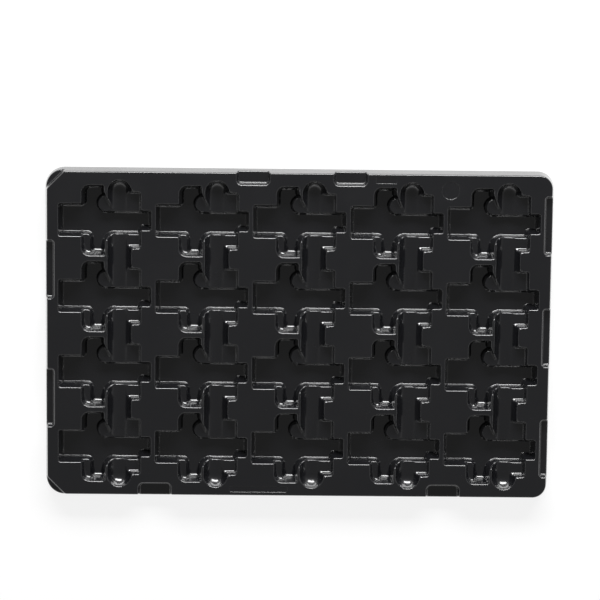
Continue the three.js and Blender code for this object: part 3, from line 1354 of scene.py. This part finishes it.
@dataclass
class FormedSheet:
    """The whole sheet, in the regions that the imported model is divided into.

    Attributes:
        finish: Finish of the plastic.
        hollows: Outlines of every hollow in the sheet.
        rim_reach: How far the rims' regions reach past the deck, in millimetres.
        inner_rows: Rows of the pockets that no edge or rim changes.
        inner_columns: Their columns.
        merge_digits: Decimals of a millimetre to which merged points agree.
    """

    finish: SheetFinish = field(default_factory=SheetFinish)
    hollows: Hollows = field(default_factory=Hollows)
    rim_reach: float = 4.0
    inner_rows: tuple[int, ...] = (2, 3)
    inner_columns: tuple[int, ...] = (2, 3, 4)
    merge_digits: int = 5

    def pocket_limits(self, row: int, column: int) -> Limits:
        """Limits of a pocket's region.

        Args:
            row: The pocket's row, from 1 at the back.
            column: The pocket's column, from 1 at the left.

        Returns:
            The limits.
        """
        half_x = GRID.columns * GRID.column_pitch / 2
        half_y = GRID.rows * GRID.row_pitch / 2
        left = (column - 1) * GRID.column_pitch - half_x
        top = GRID.end_limit if row == 1 else half_y - (row - 1) * GRID.row_pitch
        last = row == GRID.rows
        bottom = -GRID.end_limit if last else half_y - row * GRID.row_pitch
        return Limits(left, bottom, left + GRID.column_pitch, top)

    def rim_limits(self) -> dict[str, Limits]:
        """Limits of the four rims.

        Returns:
            The limits, by node name.
        """
        half_x = GRID.columns * GRID.column_pitch / 2
        far_x = DECK.half_width + self.rim_reach
        far_y = DECK.half_length + self.rim_reach
        end = GRID.end_limit
        return {
            "rim_left": Limits(-far_x, -far_y, -half_x, far_y),
            "rim_right": Limits(half_x, -far_y, far_x, far_y),
            "rim_back": Limits(-half_x, end, half_x, far_y),
            "rim_front": Limits(-half_x, -far_y, half_x, -end),
        }

    def meshed(self, limits: Limits, centre: Optional[tuple[float, float]]) -> list[Skin]:
        """The faces of the sheet over a region.

        Args:
            limits: The region's limits.
            centre: Centre point of its pocket, or None in a rim.

        Returns:
            The upper side, the underside and, in a rim, the edge of the skirt.
        """
        mesher = RegionMesher(self.hollows, limits, centre)
        skins = [mesher.skin(face) for face in Face]
        if centre is None:
            skins.append(mesher.foot())
        return skins

    def piece(
        self, node: str, skins: Sequence[Skin], move: tuple[float, float]
    ) -> bpy.types.Object:
        """Makes one piece that stands for a node.

        Args:
            node: The node's name.
            skins: The faces of the sheet there.
            move: How far they are moved along X and Y, in millimetres.

        Returns:
            The new object.
        """
        points = np.concatenate([skin.points for skin in skins]) + (*move, 0)
        starts = np.cumsum([0] + [len(skin.points) for skin in skins[:-1]])
        triangles = np.concatenate(
            [skin.triangles + start for skin, start in zip(skins, starts, strict=True)]
        )
        normals = np.concatenate([skin.normals for skin in skins])[triangles.ravel()]
        _, first, merged = np.unique(
            np.round(points, self.merge_digits),
            axis=0,
            return_index=True,
            return_inverse=True,
        )
        corners = merged.ravel()[triangles]
        whole = (
            (corners[:, 0] != corners[:, 1])
            & (corners[:, 1] != corners[:, 2])
            & (corners[:, 2] != corners[:, 0])
        )
        normals = normals.reshape(-1, 3, 3)[whole].reshape(-1, 3)
        used, corners = np.unique(corners[whole], return_inverse=True)
        places = points[first[used]] * MM
        mesh = bpy.data.meshes.new(f"formed_{node}")
        mesh.from_pydata(places.tolist(), [], corners.reshape(-1, 3).tolist())
        mesh.polygons.foreach_set("use_smooth", np.ones(len(mesh.polygons), dtype=bool))
        mesh.normals_split_custom_set(normals.tolist())
        made = bpy.data.objects.new(f"formed_{node}", mesh)
        bpy.context.scene.collection.objects.link(made)
        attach(made, "root")
        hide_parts(node)
        return made

    def build(self) -> list[bpy.types.Object]:
        """Builds every piece.

        Returns:
            The pieces.
        """
        pieces = []
        inner: Optional[list[Skin]] = None
        inner_centre = (0.0, 0.0)
        for row in range(1, GRID.rows + 1):
            for column in range(1, GRID.columns + 1):
                node = f"pocket_r{row}_c{column}"
                centre = GRID.centre(row, column)
                is_inner = row in self.inner_rows and column in self.inner_columns
                if is_inner and inner is not None:
                    skins = inner
                    move = (centre[0] - inner_centre[0], centre[1] - inner_centre[1])
                else:
                    skins = self.meshed(self.pocket_limits(row, column), centre)
                    move = (0.0, 0.0)
                    if is_inner:
                        inner, inner_centre = skins, centre
                pieces.append(self.piece(node, skins, move))
        for node, limits in self.rim_limits().items():
            pieces.append(self.piece(node, self.meshed(limits, None), (0.0, 0.0)))
        return pieces

    def dress(self, pieces: Sequence[bpy.types.Object]) -> None:
        """Gives the pieces their finish.

        Args:
            pieces: The pieces of the sheet.
        """
        plastic = self.finish.material()
        for piece in pieces:
            piece.data.materials.append(plastic)


@dataclass
class Studio:
    """The paper floor, the lamp, the room and the camera. Lengths are in metres.

    Attributes:
        floor_size: Width of the paper.
        floor_drop: How far the paper lies below the tray.
        floor_finish: Finish of the paper.
        softbox_place: Where the lamp beyond the back edge hangs.
        softbox_size: Its width and height.
        softbox_power: Its power in watts.
        room_levels: Pairs of the sine of a height in the room and the light there.
        camera_place: Where the camera stands.
        camera_aim: The point that it looks at.
        camera_twist: How far it is turned about its own line of sight, in degrees.
        camera_reach: The farthest thing that it sees.
        lens: Its focal length in millimetres.
        sensor: Width of its sensor in millimetres.
    """

    floor_size: float = 8.0
    floor_drop: float = 0.0001
    floor_finish: FloorFinish = field(default_factory=FloorFinish)
    softbox_place: tuple[float, float, float] = (0.1, 1.10, 0.66)
    softbox_size: tuple[float, float] = (1.4, 0.40)
    softbox_power: float = 29.0
    room_levels: tuple[tuple[float, float], ...] = (
        (0.0, 0.95),
        (0.18, 0.90),
        (0.32, 0.30),
        (0.55, 0.15),
        (1.0, 0.135),
    )
    camera_place: tuple[float, float, float] = (-0.01721, 0.18219, 1.41037)
    camera_aim: tuple[float, float, float] = (0.00070, 0.02432, 0.0131)
    camera_twist: float = -0.62
    camera_reach: float = 80.0
    lens: float = 126.0
    sensor: float = 36.0

    def floor(self) -> bpy.types.Object:
        """Lays the floor.

        Returns:
            The paper.
        """
        mesh = bpy.data.meshes.new("floor")
        shape = bmesh.new()
        bmesh.ops.create_grid(shape, x_segments=1, y_segments=1, size=self.floor_size / 2)
        bmesh.ops.translate(shape, verts=shape.verts, vec=(0, 0, -self.floor_drop))
        shape.to_mesh(mesh)
        shape.free()
        mesh.materials.append(self.floor_finish.material())
        floor = bpy.data.objects.new("floor", mesh)
        bpy.context.scene.collection.objects.link(floor)
        return floor

    def lamp(self) -> bpy.types.Object:
        """Hangs a soft lamp beyond the back edge that faces the tray.

        Returns:
            The lamp.
        """
        data = bpy.data.lights.new("back_softbox", "AREA")
        data.shape = "RECTANGLE"
        data.size, data.size_y = self.softbox_size
        data.energy = self.softbox_power
        lamp = bpy.data.objects.new("back_softbox", data)
        lamp.location = self.softbox_place
        facing = Vector(self.softbox_place).to_track_quat("Z", "Y")
        lamp.rotation_euler = facing.to_euler()
        bpy.context.scene.collection.objects.link(lamp)
        return lamp

    def world(self) -> None:
        """Lights the room, brightest low down all round."""
        world = bpy.data.worlds.new("room")
        world.use_nodes = True
        nodes, links = world.node_tree.nodes, world.node_tree.links
        background = nodes["Background"]
        background.inputs["Strength"].default_value = 1.0
        place = nodes.new("ShaderNodeTexCoord")
        parts = nodes.new("ShaderNodeSeparateXYZ")
        links.new(place.outputs["Generated"], parts.inputs["Vector"])
        ramp = nodes.new("ShaderNodeValToRGB")
        links.new(parts.outputs["Z"], ramp.inputs["Fac"])
        stops = ramp.color_ramp.elements
        while len(stops) < len(self.room_levels):
            stops.new(position=0.5)
        for stop, (height, level) in zip(stops, self.room_levels, strict=True):
            stop.position = height
            stop.color = (level, level, level, 1)
        links.new(ramp.outputs["Color"], background.inputs["Color"])
        bpy.context.scene.world = world

    def camera(self) -> bpy.types.Object:
        """Sets up the camera, which looks down from beyond the tray's back edge.

        Returns:
            The camera.
        """
        data = bpy.data.cameras.new("camera")
        data.lens = self.lens
        data.sensor_width = self.sensor
        data.clip_end = self.camera_reach
        camera = bpy.data.objects.new("camera", data)
        place = Vector(self.camera_place)
        back = (place - Vector(self.camera_aim)).normalized()
        right = Vector((0, 1, 0)).cross(back).normalized()
        up = back.cross(right)
        twist = math.radians(self.camera_twist)
        turned_up = up * math.cos(twist) + right * math.sin(twist)
        turned_right = turned_up.cross(back)
        sides = Matrix((turned_right, turned_up, back)).transposed()
        camera.matrix_world = Matrix.Translation(place) @ sides.to_4x4()
        bpy.context.scene.collection.objects.link(camera)
        bpy.context.scene.camera = camera
        return camera

    def build(self) -> None:
        """Sets up the whole studio."""
        self.floor()
        self.lamp()
        self.world()
        self.camera()
        bpy.context.scene.view_settings.view_transform = "Standard"


def main() -> None:
    """Builds the looks and reports each piece."""
    logging.basicConfig(level=logging.INFO, format="%(message)s")
    sheet = FormedSheet()
    pieces = sheet.build()
    sheet.dress(pieces)
    for piece in pieces:
        LOG.info("%s: %d triangles", piece.name, len(piece.data.polygons))
    Studio().build()


if __name__ == "__main__":
    main()
